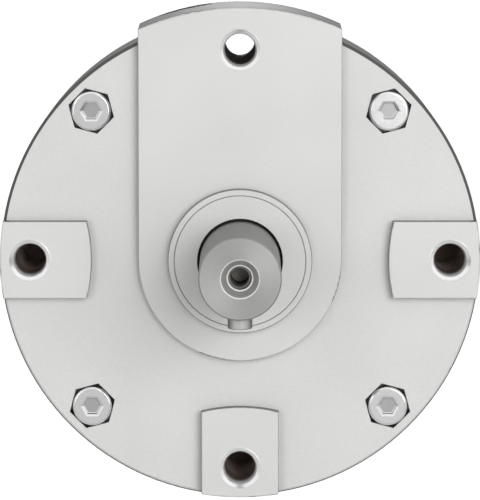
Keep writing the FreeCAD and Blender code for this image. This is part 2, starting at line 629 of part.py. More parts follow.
def make_output_shaft():
    """The turned and ground shaft, with a keyway at each end of the torque path."""
    body = new_body("output_shaft")
    turned(body, "turning", [
        ("0", "Stack.shaft_front + Sizes.centre_core_depth"),
        ("Sizes.centre_core / 2", "Stack.shaft_front + Sizes.centre_core_depth"),
        ("Sizes.centre_core / 2", "Stack.shaft_front + Sizes.centre_bore_depth"),
        ("Sizes.centre_bore / 2", "Stack.shaft_front + Sizes.centre_bore_depth"),
        ("Sizes.centre_bore / 2", "Stack.shaft_front + Sizes.centre_cone_depth"),
        ("Sizes.centre_mouth / 2", "Stack.shaft_front"),
        ("Stack.journal_radius - Sizes.shaft_chamfer", "Stack.shaft_front"),
        ("Stack.journal_radius", "Stack.shaft_front + Sizes.shaft_chamfer"),
        ("Stack.journal_radius", "Stack.seat_front"),
        ("Stack.seat_radius", "Stack.seat_front"),
        ("Stack.seat_radius", "Stack.seat_rear"),
        ("Stack.journal_radius", "Stack.seat_rear"),
        ("Stack.journal_radius", "Stack.clip_front"),
        ("Stack.journal_radius - Sizes.clip_groove", "Stack.clip_front"),
        ("Stack.journal_radius - Sizes.clip_groove", "Stack.clip_rear"),
        ("Stack.journal_radius", "Stack.clip_rear"),
        ("Stack.journal_radius", "Stack.shaft_rear - Sizes.shaft_chamfer"),
        ("Stack.journal_radius - Sizes.shaft_chamfer", "Stack.shaft_rear"),
        ("0", "Stack.shaft_rear"),
    ])
    slot_width = "Sizes.key_width + 2 * Sizes.fit_gap"
    output_slot = round_slot(
        new_sketch(body, "keyway_outline", "XY_Plane", "-Stack.journal_radius - Sizes.key_height"),
        slot_width, f"{KEY_START} - Sizes.fit_gap", f"{KEY_START} + Sizes.key_length + Sizes.fit_gap")
    pocket(body, "keyway", output_slot, "Sizes.key_height + Sizes.key_sink", backwards=True)
    hub_slot = round_slot(
        new_sketch(body, "hub_keyway_outline", "XY_Plane", "Stack.seat_radius + Sizes.key_height"),
        slot_width, f"{HUB_KEY_START} - Sizes.fit_gap",
        f"{HUB_KEY_START} + Sizes.hub_key_length + Sizes.fit_gap")
    pocket(body, "hub_keyway", hub_slot, "Sizes.key_height + Sizes.key_sink")
    return body


def make_key(label, foot, start, length, downwards):
    """A round-ended parallel key."""
    body = new_body(label)
    slot = round_slot(new_sketch(body, "key_outline", "XY_Plane", foot), "Sizes.key_width", start,
                      f"{start} + {length}")
    pad(body, "key", slot, "Sizes.key_height", backwards=downwards)
    return body


def seal_frame(body, name):
    """The U of the vane's seal, seen along X: two legs on the walls and a bar on the bore."""
    front = "Stack.chamber_front + Sizes.seal_gap"
    rear = "Stack.chamber_rear - Sizes.seal_gap"
    rim = "sqrt((Stack.chamber_radius - Sizes.seal_gap) ^ 2 - (Sizes.vane_seal_width / 2) ^ 2)"
    root = "-(Stack.hub_radius + Sizes.vane_gap)"
    return outline(new_sketch(body, name, "YZ_Plane"), [
        (front, root),
        (front, f"-{rim}"),
        (rear, f"-{rim}"),
        (rear, root),
        (f"{rear} - Sizes.vane_seal_depth", root),
        (f"{rear} - Sizes.vane_seal_depth", f"Sizes.vane_seal_depth - {rim}"),
        (f"{front} + Sizes.vane_seal_depth", f"Sizes.vane_seal_depth - {rim}"),
        (f"{front} + Sizes.vane_seal_depth", root),
    ])


def make_vane():
    """The hub and blade that the air pushes round, with a groove for the seal on three sides."""
    body = new_body("vane")
    bore = "Stack.seat_radius + Sizes.fit_gap"
    turned(body, "hub", [
        (bore, "Stack.seat_front"),
        ("Stack.hub_radius", "Stack.seat_front"),
        ("Stack.hub_radius", "Stack.seat_rear"),
        (bore, "Stack.seat_rear"),
    ])
    blade = sector(facing(body, "blade_outline", "Stack.chamber_front + Sizes.vane_gap"),
                   "(Stack.hub_radius - Sizes.hub_wall / 2)", "(Stack.chamber_radius - Sizes.vane_gap)",
                   "(180 - Sizes.vane_half_angle)", "(180 + Sizes.vane_half_angle)")
    pad(body, "blade", blade, "Sizes.chamber_length - 2 * Sizes.vane_gap", backwards=True)
    pocket(body, "seal_groove", seal_frame(body, "seal_groove_outline"), "Sizes.vane_seal_width",
           side="Symmetric")
    half = "(Sizes.key_width / 2 + Sizes.fit_gap)"
    keyway = outline(facing(body, "keyway_outline", "Stack.seat_front"), [
        (f"-{half}", "Stack.seat_radius - Sizes.seat_step"),
        (half, "Stack.seat_radius - Sizes.seat_step"),
        (half, f"{HUB_KEY_FOOT} + Sizes.key_height + Sizes.fit_gap"),
        (f"-{half}", f"{HUB_KEY_FOOT} + Sizes.key_height + Sizes.fit_gap"),
    ])
    pocket(body, "keyway", keyway, "Sizes.chamber_length")
    return body


def make_vane_seal():
    body = new_body("vane_seal")
    pad(body, "frame", seal_frame(body, "frame_outline"), "Sizes.vane_seal_width", side="Symmetric")
    return body


def make_rear_circlip():
    """The spring ring in the shaft's groove, open at the top, with an ear at each end for pliers."""
    body = new_body("rear_circlip")
    inner = "Stack.journal_radius - Sizes.clip_groove + Sizes.fit_gap"
    turned(body, "ring", [
        (inner, "Stack.clip_front"),
        ("Stack.clip_radius", "Stack.clip_front"),
        ("Stack.clip_radius", "Stack.clip_rear"),
        (inner, "Stack.clip_rear"),
    ])
    ears = facing(body, "ear_outline", "Stack.clip_front")
    holes = facing(body, "ear_hole_outline", "Stack.clip_front")
    for side in ("-", ""):
        circle(ears, f"{side}Stack.ear_x", "Stack.ear_z", "Sizes.ear_diameter / 2")
        circle(holes, f"{side}Stack.ear_x", "Stack.ear_z", "Sizes.ear_hole / 2")
    pad(body, "ears", ears, "Sizes.clip_thickness", backwards=True)
    pocket(body, "ear_holes", holes, "Sizes.clip_thickness")
    half = "Sizes.clip_gap / 2"
    gap = outline(facing(body, "gap_outline", "Stack.clip_front"), [
        (f"-{half}", "0"),
        (half, "0"),
        (half, "Stack.collar_radius"),
        (f"-{half}", "Stack.collar_radius"),
    ])
    pocket(body, "gap", gap, "Sizes.clip_thickness")
    return body


journal_hole = "Stack.journal_radius + Sizes.running_gap"
nodes = [
    make_front_housing(),
    make_rear_cover(),
    make_stator(),
    make_stator_seal(),
    make_stator_dowels(),
    make_bumper("left_bumper", "(-Sizes.stator_half_angle - Sizes.bumper_angle)",
                "(-Sizes.stator_half_angle)"),
    make_bumper("right_bumper", "Sizes.stator_half_angle",
                "(Sizes.stator_half_angle + Sizes.bumper_angle)"),
    ring("front_bush", journal_hole, "Stack.bush_radius", "Stack.lip_end", "Stack.front_seal_start"),
    ring("rear_bush", journal_hole, "Stack.bush_radius", "Stack.rear_seal_end", "Stack.recess_floor"),
    lip_seal("front_shaft_seal", "Stack.front_seal_start", "Stack.chamber_front - Sizes.washer_thickness"),
    lip_seal("rear_shaft_seal", "Stack.rear_seal_end", "Stack.chamber_rear + Sizes.washer_thickness"),
    ring("front_thrust_washer", "Stack.journal_radius + Sizes.side_gap", "Stack.seal_radius",
         "Stack.chamber_front - Sizes.washer_thickness", "Stack.chamber_front"),
    ring("rear_thrust_washer", "Stack.journal_radius + Sizes.side_gap", "Stack.seal_radius",
         "Stack.chamber_rear", "Stack.chamber_rear + Sizes.washer_thickness"),
    make_housing_ring(),
    make_cap_screws(),
    make_hex_nuts(),
    make_output_shaft(),
    make_key("shaft_key", "Sizes.key_sink - Stack.journal_radius", KEY_START, "Sizes.key_length", True),
    make_vane(),
    make_vane_seal(),
    make_key("vane_key", HUB_KEY_FOOT, HUB_KEY_START, "Sizes.hub_key_length", False),
    ring("rear_collar", "Stack.journal_radius + Sizes.fit_gap", "Stack.collar_radius",
         "Stack.collar_front", "Stack.clip_front"),
    make_rear_circlip(),
]
doc.recompute()

# Every object has to be sound before any file is written
failed = [item.Name for item in doc.Objects if {"Invalid", "Error"} & set(item.State)]
failed += [node.Label for node in nodes if node.Shape.isNull() or not node.Shape.isValid()]
if failed:
    raise RuntimeError("not sound: " + ", ".join(failed))

os.makedirs("parts", exist_ok=True)
for node in nodes:
    node.Shape.exportStep(os.path.join("parts", node.Label + ".step"))
    print(f"{node.Label}: {len(node.Shape.Solids)} solids, {node.Shape.Volume:.1f} mm3")
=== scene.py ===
import math

import bmesh
import bpy
from mathutils import Matrix, Vector


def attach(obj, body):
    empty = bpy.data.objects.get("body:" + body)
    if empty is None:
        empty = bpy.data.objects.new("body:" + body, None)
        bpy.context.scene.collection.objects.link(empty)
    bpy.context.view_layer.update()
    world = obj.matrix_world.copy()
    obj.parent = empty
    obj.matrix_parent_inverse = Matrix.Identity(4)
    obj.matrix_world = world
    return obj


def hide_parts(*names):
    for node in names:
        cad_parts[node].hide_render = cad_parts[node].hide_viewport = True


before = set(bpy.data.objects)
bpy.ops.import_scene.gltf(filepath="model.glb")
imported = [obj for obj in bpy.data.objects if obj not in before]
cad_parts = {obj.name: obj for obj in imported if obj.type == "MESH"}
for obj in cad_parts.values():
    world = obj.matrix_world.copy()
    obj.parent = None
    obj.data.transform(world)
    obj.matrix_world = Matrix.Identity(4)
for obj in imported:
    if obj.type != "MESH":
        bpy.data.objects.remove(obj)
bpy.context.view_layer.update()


# FRONT HOUSING. A die-cast aluminium cup with a mounting disc, a tongue up to the port block,
# three pads and a locating spigot. Its front faces are milled and fine-blasted. Its rim and its
# flanks are painted darker as painted shade. Four long screws clamp it to the cover behind it.
MM = 0.001


def linear(hex_colour):
    """Linear RGBA of an sRGB hex value."""
    channels = [int(hex_colour[i:i + 2], 16) / 255 for i in (0, 2, 4)]
    return [c / 12.92 if c <= 0.04045 else ((c + 0.055) / 1.055) ** 2.4 for c in channels] + [1.0]


def add_node(tree, kind, inputs=None, **settings):
    """Adds a shader node with its settings. An input is a value, or a socket to link from."""
    node = tree.nodes.new("ShaderNode" + kind)
    for name, value in settings.items():
        setattr(node, name, value)
    for key, value in (inputs or {}).items():
        if isinstance(value, bpy.types.NodeSocket):
            tree.links.new(value, node.inputs[key])
        else:
            node.inputs[key].default_value = value
    return node


def new_finish(name, colour, metallic, roughness):
    """A Principled material with even values on its shader, and its Object coordinates."""
    material = bpy.data.materials.new(name)
    material.use_nodes = True
    tree = material.node_tree
    shader = tree.nodes["Principled BSDF"]
    shader.inputs["Base Color"].default_value = linear(colour)
    shader.inputs["Metallic"].default_value = metallic
    shader.inputs["Roughness"].default_value = roughness
    place = add_node(tree, "TexCoord").outputs["Object"]
    return material, tree, shader, place


def dress(material, *nodes):
    """Gives CAD nodes their finish."""
    for name in nodes:
        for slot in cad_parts[name].material_slots:
            slot.material = material


# Blasted aluminium: a pale, even grey with a fine grit and soft broad sheen on the milled faces
# and their broken edges. Flanks are painted greyer, and the rim and the block's crown darker
# still, as painted shade.
FACED_LIGHT, FACED_DARK = "E3E3E1", "D9D9D7"
SHADED_FLANK_LIGHT, SHADED_FLANK_DARK = "8E8E8D", "7C7C7B"
SHADED_RIM_LIGHT, SHADED_RIM_DARK = "626261", "555554"
GRIT, MOTTLE, CLOUD = 0.45 * MM, 2.5 * MM, 22 * MM

cast_aluminium, tree, shader, place = new_finish("blasted_cast_aluminium", FACED_LIGHT, 0.35, 0.5)
shader.inputs["Specular IOR Level"].default_value = 0.12


def calc(tree, operation, *values, clamp=False):
    """Result of a Math node on values or sockets."""
    node = add_node(tree, "Math", dict(enumerate(values)), operation=operation, use_clamp=clamp)
    return node.outputs[0]


def ramp(tree, value, start, stop, low=0.0, high=1.0, curve="LINEAR"):
    """A value that goes from low to high between start and stop, and is held beyond them."""
    spans = {"Value": value, "From Min": start, "From Max": stop, "To Min": low, "To Max": high}
    return add_node(tree, "MapRange", spans, interpolation_type=curve).outputs["Result"]


def split(tree, vector):
    """X, Y and Z of a vector."""
    return add_node(tree, "SeparateXYZ", {0: vector}).outputs


def normal_y(tree):
    """The normal's part along the shaft's axis, -1 on faces that look to the front."""
    return split(tree, add_node(tree, "TexCoord").outputs["Normal"])["Y"]


# Faces that look along the axis take the face colour. The rest is painted darker as painted shade.
end_on = calc(tree, "ABSOLUTE", normal_y(tree))
axis_facing = ramp(tree, end_on, 0.3, 0.95, curve="SMOOTHSTEP")
tree.links.new(calc(tree, "MULTIPLY", axis_facing, 0.1), shader.inputs["Metallic"])

# Masks by place. The disc's chamfer takes the face colour, but above the middle it is painted
# dark as painted shade. Its corner and the spigot's edge are painted as dark lines of shade, and
# the spigot's groove is painted lighter than a flank, as painted light, so that it shows grey.
RIM_START, CHAMFER_START, CORNER_START = 58.2 * MM, 59.25 * MM, 59.7 * MM
DISC_LEVEL, SPIGOT_LEVEL = 2.9 * MM, -2.5 * MM
UPPER_SHADE_LOW, UPPER_SHADE_HIGH, UPPER_SHADE_SHARE = -5 * MM, 10 * MM, 0.97
EDGE_LINE, EDGE_HALF, EDGE_SHARE = 17.92 * MM, 0.13 * MM, 0.6
GROOVE_LINE, GROOVE_HALF, GROOVE_SHARE = 16.4 * MM, 0.2 * MM, 0.55


def from_axis(tree, place):
    """Distance from the shaft's axis."""
    flat = add_node(tree, "VectorMath", {0: place, 1: (1, 0, 1)}, operation="MULTIPLY")
    length = add_node(tree, "VectorMath", {0: flat.outputs["Vector"]}, operation="LENGTH")
    return length.outputs["Value"]


def product(tree, first, *others):
    """Product of masks and shares."""
    for other in others:
        first = calc(tree, "MULTIPLY", first, other)
    return first


reach = from_axis(tree, place)
axes = split(tree, place)
on_rim = calc(tree, "GREATER_THAN", reach, RIM_START)
chamfer = calc(tree, "GREATER_THAN", reach, CHAMFER_START)
behind = calc(tree, "GREATER_THAN", axes["Y"], DISC_LEVEL)
# Painted shade: a dark line at the disc's corner, behind its face.
corner = product(tree, calc(tree, "GREATER_THAN", reach, CORNER_START), behind)
# Painted shade: the disc's chamfer is darker above the middle.
upper = ramp(tree, axes["Z"], UPPER_SHADE_LOW, UPPER_SHADE_HIGH, curve="SMOOTHSTEP")
painted_upper_shade = product(tree, upper, behind, chamfer, UPPER_SHADE_SHARE)
end_on_chamfer = product(tree, calc(tree, "GREATER_THAN", end_on, 0.5), chamfer)
on_spigot = calc(tree, "LESS_THAN", axes["Y"], SPIGOT_LEVEL)
# Painted shade: a dark line at the spigot's edge.
edge = calc(tree, "COMPARE", reach, EDGE_LINE, EDGE_HALF)
edge = product(tree, edge, on_spigot, EDGE_SHARE)
# Painted light: the groove's flanks take part of the face colour against their shade.
groove = product(tree, calc(tree, "COMPARE", reach, GROOVE_LINE, GROOVE_HALF), GROOVE_SHARE)
face_colour_share = calc(tree, "MAXIMUM", calc(tree, "MAXIMUM", axis_facing, end_on_chamfer), groove)
for mask in (painted_upper_shade, edge, corner):
    face_colour_share = calc(tree, "SUBTRACT", face_colour_share, mask, clamp=True)


def noise(tree, place, size, detail=2.0):
    """Noise with grains of about a given size."""
    inputs = {"Vector": place, "Scale": 1 / size, "Detail": detail}
    return add_node(tree, "TexNoise", inputs).outputs["Fac"]


def blend(tree, share, first, second):
    """A colour between two, each a hex value or a socket."""
    ends = [linear(end) if isinstance(end, str) else end for end in (first, second)]
    return add_node(tree, "Mix", {0: share, 6: ends[0], 7: ends[1]}, data_type="RGBA").outputs[2]


grit = noise(tree, place, GRIT)
mottle = noise(tree, place, MOTTLE, 3.0)
cloud = noise(tree, place, CLOUD, 1.0)
shade = ramp(tree, calc(tree, "ADD", grit, cloud), 0.6, 1.4)
face_colour = blend(tree, shade, FACED_DARK, FACED_LIGHT)
# Painted shade: the flank colour, and on the rim and the block's crown the darker rim colour.
shaded_flank_colour = blend(tree, mottle, SHADED_FLANK_DARK, SHADED_FLANK_LIGHT)
shaded_rim_colour = blend(tree, mottle, SHADED_RIM_DARK, SHADED_RIM_LIGHT)
painted_shade_colour = blend(tree, on_rim, shaded_flank_colour, shaded_rim_colour)
tree.links.new(blend(tree, face_colour_share, painted_shade_colour, face_colour), shader.inputs["Base Color"])
tree.links.new(ramp(tree, grit, 0.0, 1.0, 0.42, 0.58), shader.inputs["Roughness"])
bump = add_node(tree, "Bump", {"Height": grit, "Strength": 0.12, "Distance": 0.05 * MM})
tree.links.new(bump.outputs["Normal"], shader.inputs["Normal"])
dress(cast_aluminium, "front_housing")


# TAPPED LUG HOLES. Four holes drilled and tapped through the mounting lugs. Each has a bright
# chamfered mouth and a smooth tapered lead-in that darkens with depth, and below them the cut
# thread is dark brown, partly oil and partly painted shade.
HOLE_RADIUS = 4.25 * MM
HOLE_CREST, HOLE_EXIT = 3.85 * MM, 3.8 * MM
HOLE_PITCH = 1.5 * MM
LUG_CIRCLE = 52.5 * MM
MOUTH_DEPTH, MOUTH_GAP = 1.0 * MM, 0.05 * MM
LEAD_IN = ((5.13, 0.0), (4.32, 0.6), (4.2, 0.72), (4.08, 1.1), (3.99, 1.7), (3.91, 3.0),
           (3.85, 6.0))
LEAD_IN_END = 6.0 * MM
JOINT_FACE, REAR_FACE = 37 * MM, 53 * MM
EXIT_LENGTH, EXIT_LIP = 4 * MM, 0.2 * MM
FLOOR_GAP, FLOOR_MIDDLE, FLOOR_DISC = 0.3 * MM, 0.15 * MM, 0.1 * MM
ROOT_GAP, BACK_GAP = 0.05 * MM, 0.005 * MM
STEPS = 32
WELD, FINE_WELD, CUT_TOLERANCE = 0.001 * MM, 0.0005 * MM, 0.0001 * MM
SHARP_ANGLE = math.radians(32)


def thread(bm, crest, root, back, start, stop, pitch):
    """A thread about Y from start to stop, closed along the back radius behind its roots. It cuts
    the whole bmesh to that span, so it comes first."""
    turns = math.ceil((stop - start) / pitch) + 2
    low = start - pitch
    outline = [(crest, 0), (crest, 0.2), (root, 0.5), (root, 0.7), (crest, 1)]
    verts = [bm.verts.new((radius, low + share * pitch, 0)) for radius, share in outline]
    edges = [bm.edges.new(pair) for pair in zip(verts, verts[1:])]
    bmesh.ops.spin(bm, geom=verts + edges, cent=(0, 0, 0), axis=(0, 1, 0),
                   dvec=(0, pitch / STEPS, 0), angle=2 * math.pi * turns, steps=STEPS * turns,
                   use_duplicate=False)
    bmesh.ops.remove_doubles(bm, verts=bm.verts[:], dist=WELD)
    for height, way in ((start, -1), (stop, 1)):
        bmesh.ops.bisect_plane(bm, geom=bm.verts[:] + bm.edges[:] + bm.faces[:], dist=CUT_TOLERANCE,
                               plane_co=(0, height, 0), plane_no=(0, way, 0), clear_outer=True)
    ends = [edge for edge in bm.edges if edge.is_boundary]
    grown = bmesh.ops.extrude_edge_only(bm, edges=ends)["geom"]
    for vert in grown:
        if isinstance(vert, bmesh.types.BMVert):
            stretch = back / math.hypot(vert.co.x, vert.co.z)
            vert.co.x *= stretch
            vert.co.z *= stretch
    rims = [edge for edge in bm.edges if edge.is_boundary]
    bmesh.ops.bridge_loops(bm, edges=rims)


def place_piece(name, bm, material, body, move=(0, 0, 0)):
    """Makes a smooth-shaded piece of a finished bmesh. It rides on a body."""
    bmesh.ops.translate(bm, verts=bm.verts[:], vec=move)
    bmesh.ops.remove_doubles(bm, verts=bm.verts[:], dist=FINE_WELD)
    bmesh.ops.recalc_face_normals(bm, faces=bm.faces[:])
    mesh = bpy.data.meshes.new(name)
    bm.to_mesh(mesh)
    bm.free()
    mesh.shade_smooth()
    mesh.set_sharp_from_angle(angle=SHARP_ANGLE)
    mesh.materials.append(material)
    piece = bpy.data.objects.new(name, mesh)
    bpy.context.collection.objects.link(piece)
    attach(piece, body)
    return piece


def spin_ring(bm, outline, steps=64):
    """Turns a closed outline of (radius, y) points round the Y axis."""
    verts = [bm.verts.new((radius, y, 0)) for radius, y in outline]
    edges = [bm.edges.new(pair) for pair in zip(verts, verts[1:] + verts[:1])]
    bmesh.ops.spin(bm, geom=verts + edges, cent=(0, 0, 0), axis=(0, 1, 0), dvec=(0, 0, 0),
                   angle=2 * math.pi, steps=steps, use_merge=True, use_duplicate=False)


# Cut thread: a deep brown, partly oil and partly painted shade. Deep in the blind holes it is
# painted paler, as painted light.
BLIND_BELOW = 30 * MM
DEEP_LIGHT_START, DEEP_LIGHT_STOP = 11 * MM, 24 * MM

oily_thread, tree, shader, place = new_finish("oily_cut_thread", "8C817A", 0.0, 0.55)
axes = split(tree, place)
blind = calc(tree, "LESS_THAN", axes["Z"], BLIND_BELOW)
# Painted light: paler deeper into the blind holes, where shade falls.
deep_light_share = product(tree, ramp(tree, axes["Y"], DEEP_LIGHT_START, DEEP_LIGHT_STOP), blind)
streak = noise(tree, place, 0.8 * MM)
oil_and_shade_brown = blend(tree, streak, "584A45", "64554F")
painted_deep_light = blend(tree, streak, "E6D4CA", "F0E0D8")
tree.links.new(blend(tree, deep_light_share, oil_and_shade_brown, painted_deep_light), shader.inputs["Base Color"])

# Fresh-cut chamfer: bright turned aluminium that grows dull with depth. It also darkens with
# depth into the hole, partly oil and partly painted shade.
DEPTH_SHADE_START = 2.0 * MM
DULL_START, DULL_STOP = 0.7 * MM, 1.3 * MM

bright_cut, tree, shader, place = new_finish("bright_cut_aluminium", "F4F4F4", 0.75, 0.3)
depth = split(tree, place)["Y"]
fresh = blend(tree, noise(tree, place, 0.6 * MM), "F2F2F2", "FAFAFA")
# Painted shade: darker with depth into the hole, partly oil.
oil_and_depth_shade = ramp(tree, depth, DEPTH_SHADE_START, LEAD_IN_END)
tree.links.new(blend(tree, oil_and_depth_shade, fresh, "3C3532"), shader.inputs["Base Color"])
tree.links.new(ramp(tree, depth, DULL_START, DULL_STOP, 0.75, 0.1), shader.inputs["Metallic"])

LUGS = {"top": (0, 1), "left": (-1, 0), "right": (1, 0), "bottom": (0, -1)}
for side, (across, up) in LUGS.items():
    centre = Vector((across * LUG_CIRCLE, 0, up * LUG_CIRCLE))
    through = side == "top"
    end = REAR_FACE if through else JOINT_FACE
    stop = end - (EXIT_LENGTH if through else FLOOR_GAP)
    bm = bmesh.new()
    thread(bm, HOLE_CREST, HOLE_RADIUS - ROOT_GAP, HOLE_RADIUS - BACK_GAP, LEAD_IN_END, stop,
           HOLE_PITCH)
    if through:
        spin_ring(bm, [(HOLE_EXIT, stop), (HOLE_RADIUS - EXIT_LIP, end - EXIT_LIP),
                       (HOLE_RADIUS, end - EXIT_LIP), (HOLE_RADIUS, stop)])
    else:
        flat = Matrix.Rotation(math.pi / 2, 4, "X")
        floor = Matrix.Translation((0, end - FLOOR_MIDDLE, 0)) @ flat
        bmesh.ops.create_cone(bm, cap_ends=True, segments=64, radius1=HOLE_CREST,
                              radius2=HOLE_CREST, depth=FLOOR_DISC, matrix=floor)
    place_piece("lug_thread_" + side, bm, oily_thread, "housing", centre)
    bm = bmesh.new()
    spin_ring(bm, [(radius * MM, y * MM) for radius, y in LEAD_IN] +
              [(HOLE_RADIUS, LEAD_IN_END), (HOLE_RADIUS, MOUTH_DEPTH + MOUTH_GAP),
               (HOLE_RADIUS + MOUTH_DEPTH, MOUTH_GAP)], 96)
    place_piece("lug_mouth_" + side, bm, bright_cut, "housing", centre)


# REAR COVER. The second casting, with the rear bearing, both air ports and cored pockets. It
# has the same milled and blasted finish and painted shade as the housing, and carries them on its
# port block.
dress(cast_aluminium, "rear_cover")


# AIR PORTS. One tapped port in the top of the block and one in the rear face, each with a
# short cut thread below its mouth. The threads are dark brown as in the lugs, partly oil and partly
# painted shade.
PORT_X = 13.976 * MM
PORT_RADIUS, PORT_CREST = 4.4 * MM, 4.05 * MM
PORT_PITCH = 1.0 * MM
PORT_DEPTH, PORT_MOUTH_GAP = 8 * MM, 0.4 * MM
TOP_PORT_Y, TOP_PORT_MOUTH = 45 * MM, 58.817 * MM
REAR_PORT_Z = 36.41 * MM

for name, turn, mouth in (
        ("top_port_thread", math.radians(90), Vector((-PORT_X, TOP_PORT_Y, TOP_PORT_MOUTH))),
        ("rear_port_thread", 0, Vector((PORT_X, REAR_FACE, REAR_PORT_Z)))):
    bm = bmesh.new()
    thread(bm, PORT_CREST, PORT_RADIUS - ROOT_GAP, PORT_RADIUS - BACK_GAP,
           -PORT_DEPTH + FLOOR_GAP, -PORT_MOUTH_GAP, PORT_PITCH)
    bmesh.ops.rotate(bm, verts=bm.verts[:], cent=(0, 0, 0), matrix=Matrix.Rotation(turn, 3, "X"))
    place_piece(name, bm, oily_thread, "housing", mouth)


# OUTPUT SHAFT. A turned and ground steel shaft, 20 mm at its keyed end. The grinding leaves fine
# rings round its side, and facing leaves rings on its end, which spread the light into a fan. Its
# side and the inside of its centre bore are painted darker than its end, as painted shade. It
# turns in the two bushes.
SHAFT_END = -42.8 * MM
RINGS = 0.35 * MM
BORE_MIDDLE, BORE_HALF, BORE_REACH = SHAFT_END + 11 * MM, 8 * MM, 3.3 * MM


def ringed(tree, place, spacing):
    """Noise that changes along the axis and with radius only, as turning or grinding leaves it."""
    travel = calc(tree, "ADD", from_axis(tree, place), split(tree, place)["Y"])
    return add_node(tree, "TexNoise", {"W": travel, "Scale": 1 / spacing, "Detail": 2.0},
                    noise_dimensions="1D").outputs["Fac"]


ground_steel, tree, shader, place = new_finish("ground_steel", "CCCCCA", 0.85, 0.34)
shader.inputs["Anisotropic"].default_value = 0.4
shader.inputs["Anisotropic Rotation"].default_value = 0.25
round_axis = add_node(tree, "Tangent", direction_type="RADIAL", axis="Y")
tree.links.new(round_axis.outputs["Tangent"], shader.inputs["Tangent"])
rings = ringed(tree, place, RINGS)
end_on = calc(tree, "ABSOLUTE", normal_y(tree))
# Painted shade: the side is darker than the end.
shaded_side_steel = blend(tree, rings, "646463", "767675")
end_steel = blend(tree, rings, "9E9E9C", "ACACAA")
steel = blend(tree, end_on, shaded_side_steel, end_steel)
# Painted shade: the inside of the centre bore is darker than the end.
deep = calc(tree, "COMPARE", split(tree, place)["Y"], BORE_MIDDLE, BORE_HALF)
inside = calc(tree, "LESS_THAN", from_axis(tree, place), BORE_REACH)
steel = blend(tree, product(tree, deep, inside), steel, "74726C")
tree.links.new(steel, shader.inputs["Base Color"])
tree.links.new(ramp(tree, end_on, 0.0, 1.0, 0.3, 0.85), shader.inputs["Metallic"])
tree.links.new(ramp(tree, rings, 0.0, 1.0, 0.28, 0.42), shader.inputs["Roughness"])
dress(ground_steel, "output_shaft", "vane", "rear_collar")

# The shaft's end is drilled and tapped for a screw that holds a hub on. The 60 degree centre is
# greyer than the faced end. The near-white rims at its mouth and at the bore are painted
# highlights.
CENTRE_MOUTH, CENTRE_BORE = 4.8 * MM, 3.2 * MM
RIM_LINE = 0.26 * MM
LINING, LINING_SET = 0.06 * MM, 0.02 * MM
CONE_START, BORE_START = SHAFT_END + RIM_LINE, SHAFT_END + 2.8 * MM
CONE_STOP = BORE_START - RIM_LINE
BORE_RING, BORE_RING_STOP = CENTRE_BORE - 0.32 * MM, BORE_START + 0.35 * MM
END_CREST, END_ROOT, END_BACK = 2.2 * MM, 2.46 * MM, 2.495 * MM
END_START, END_STOP = SHAFT_END + 5.05 * MM, SHAFT_END + 15.9 * MM
END_PITCH = 1.0 * MM

# End thread: its front-facing flanks are painted light, the rest dark, as painted light and shade.
cut_steel, tree, shader, place = new_finish("cut_thread_steel", "8C877C", 0.6, 0.35)
root = blend(tree, ringed(tree, place, 0.4 * MM), "2A2824", "3C3A34")
painted_flank = ramp(tree, normal_y(tree), -0.2, -0.6)
tree.links.new(blend(tree, painted_flank, root, "7C7B76"), shader.inputs["Base Color"])
bm = bmesh.new()
thread(bm, END_CREST, END_ROOT, END_BACK, END_START, END_STOP, END_PITCH)
place_piece("shaft_end_thread", bm, cut_steel, "rotor")


def ringed_steel(name, colour, metallic, roughness, dark, light):
    """A steel finish with turning rings between two shades."""
    material, tree, shader, place = new_finish(name, colour, metallic, roughness)
    shades = blend(tree, ringed(tree, place, RINGS), dark, light)
    tree.links.new(shades, shader.inputs["Base Color"])
    return material


drilled_steel = ringed_steel("drilled_centre_steel", "A8A8A6", 0.25, 0.4, "9C9C9A", "B4B4B2")
bm = bmesh.new()
spin_ring(bm, [(CENTRE_MOUTH - RIM_LINE, CONE_START), (CENTRE_BORE, CONE_STOP),
               (CENTRE_BORE + LINING, CONE_STOP + LINING_SET),
               (CENTRE_MOUTH - LINING, CONE_START + LINING_SET)])
place_piece("centre_cone", bm, drilled_steel, "rotor")

# Painted highlights: near-white rims at the centre's mouth and at the bore.
painted_highlight_steel = ringed_steel("painted_highlight_steel", "F6F6F4", 0.2, 0.25, "F2F2F0", "FCFCFA")
bm = bmesh.new()
spin_ring(bm, [(CENTRE_MOUTH - 0.01 * MM, SHAFT_END + 0.005 * MM),
               (CENTRE_MOUTH - RIM_LINE, CONE_START),
               (CENTRE_MOUTH - LINING, CONE_START + LINING_SET)])
spin_ring(bm, [(CENTRE_BORE, CONE_STOP), (BORE_RING, BORE_START), (BORE_RING, BORE_RING_STOP),
               (CENTRE_BORE - LINING_SET, BORE_RING_STOP),
               (CENTRE_BORE + LINING, CONE_STOP + LINING_SET)])
place_piece("centre_rims", bm, painted_highlight_steel, "rotor")


# SHAFT KEY. A steel key with round ends, pressed into the shaft's keyway. It is cut from drawn
# bar, so it has a soft long grain and slightly broken edges. Its sides are painted darker than
# its round ends, as painted shade.
KEY_WIDTH = 6 * MM
KEY_FRONT, KEY_REAR = -40.3 * MM, -8.3 * MM
KEY_TOP, KEY_BOTTOM = -6.5 * MM, -12.5 * MM
KEY_EDGE = 0.35 * MM
KEY_SIDES = 40
GRAIN_WIDTH, GRAIN_LENGTH = 0.3 * MM, 6 * MM

drawn_steel, tree, shader, place = new_finish("drawn_key_steel", "B4B4B2", 0.2, 0.35)
shader.inputs["Specular IOR Level"].default_value = 0.3
stretched = add_node(tree, "Mapping", {
    "Vector": place, "Scale": (1 / GRAIN_WIDTH, 1 / GRAIN_LENGTH, 1 / GRAIN_WIDTH)})
grain = noise(tree, stretched.outputs[0], 1.0)
end_on = calc(tree, "ABSOLUTE", normal_y(tree))
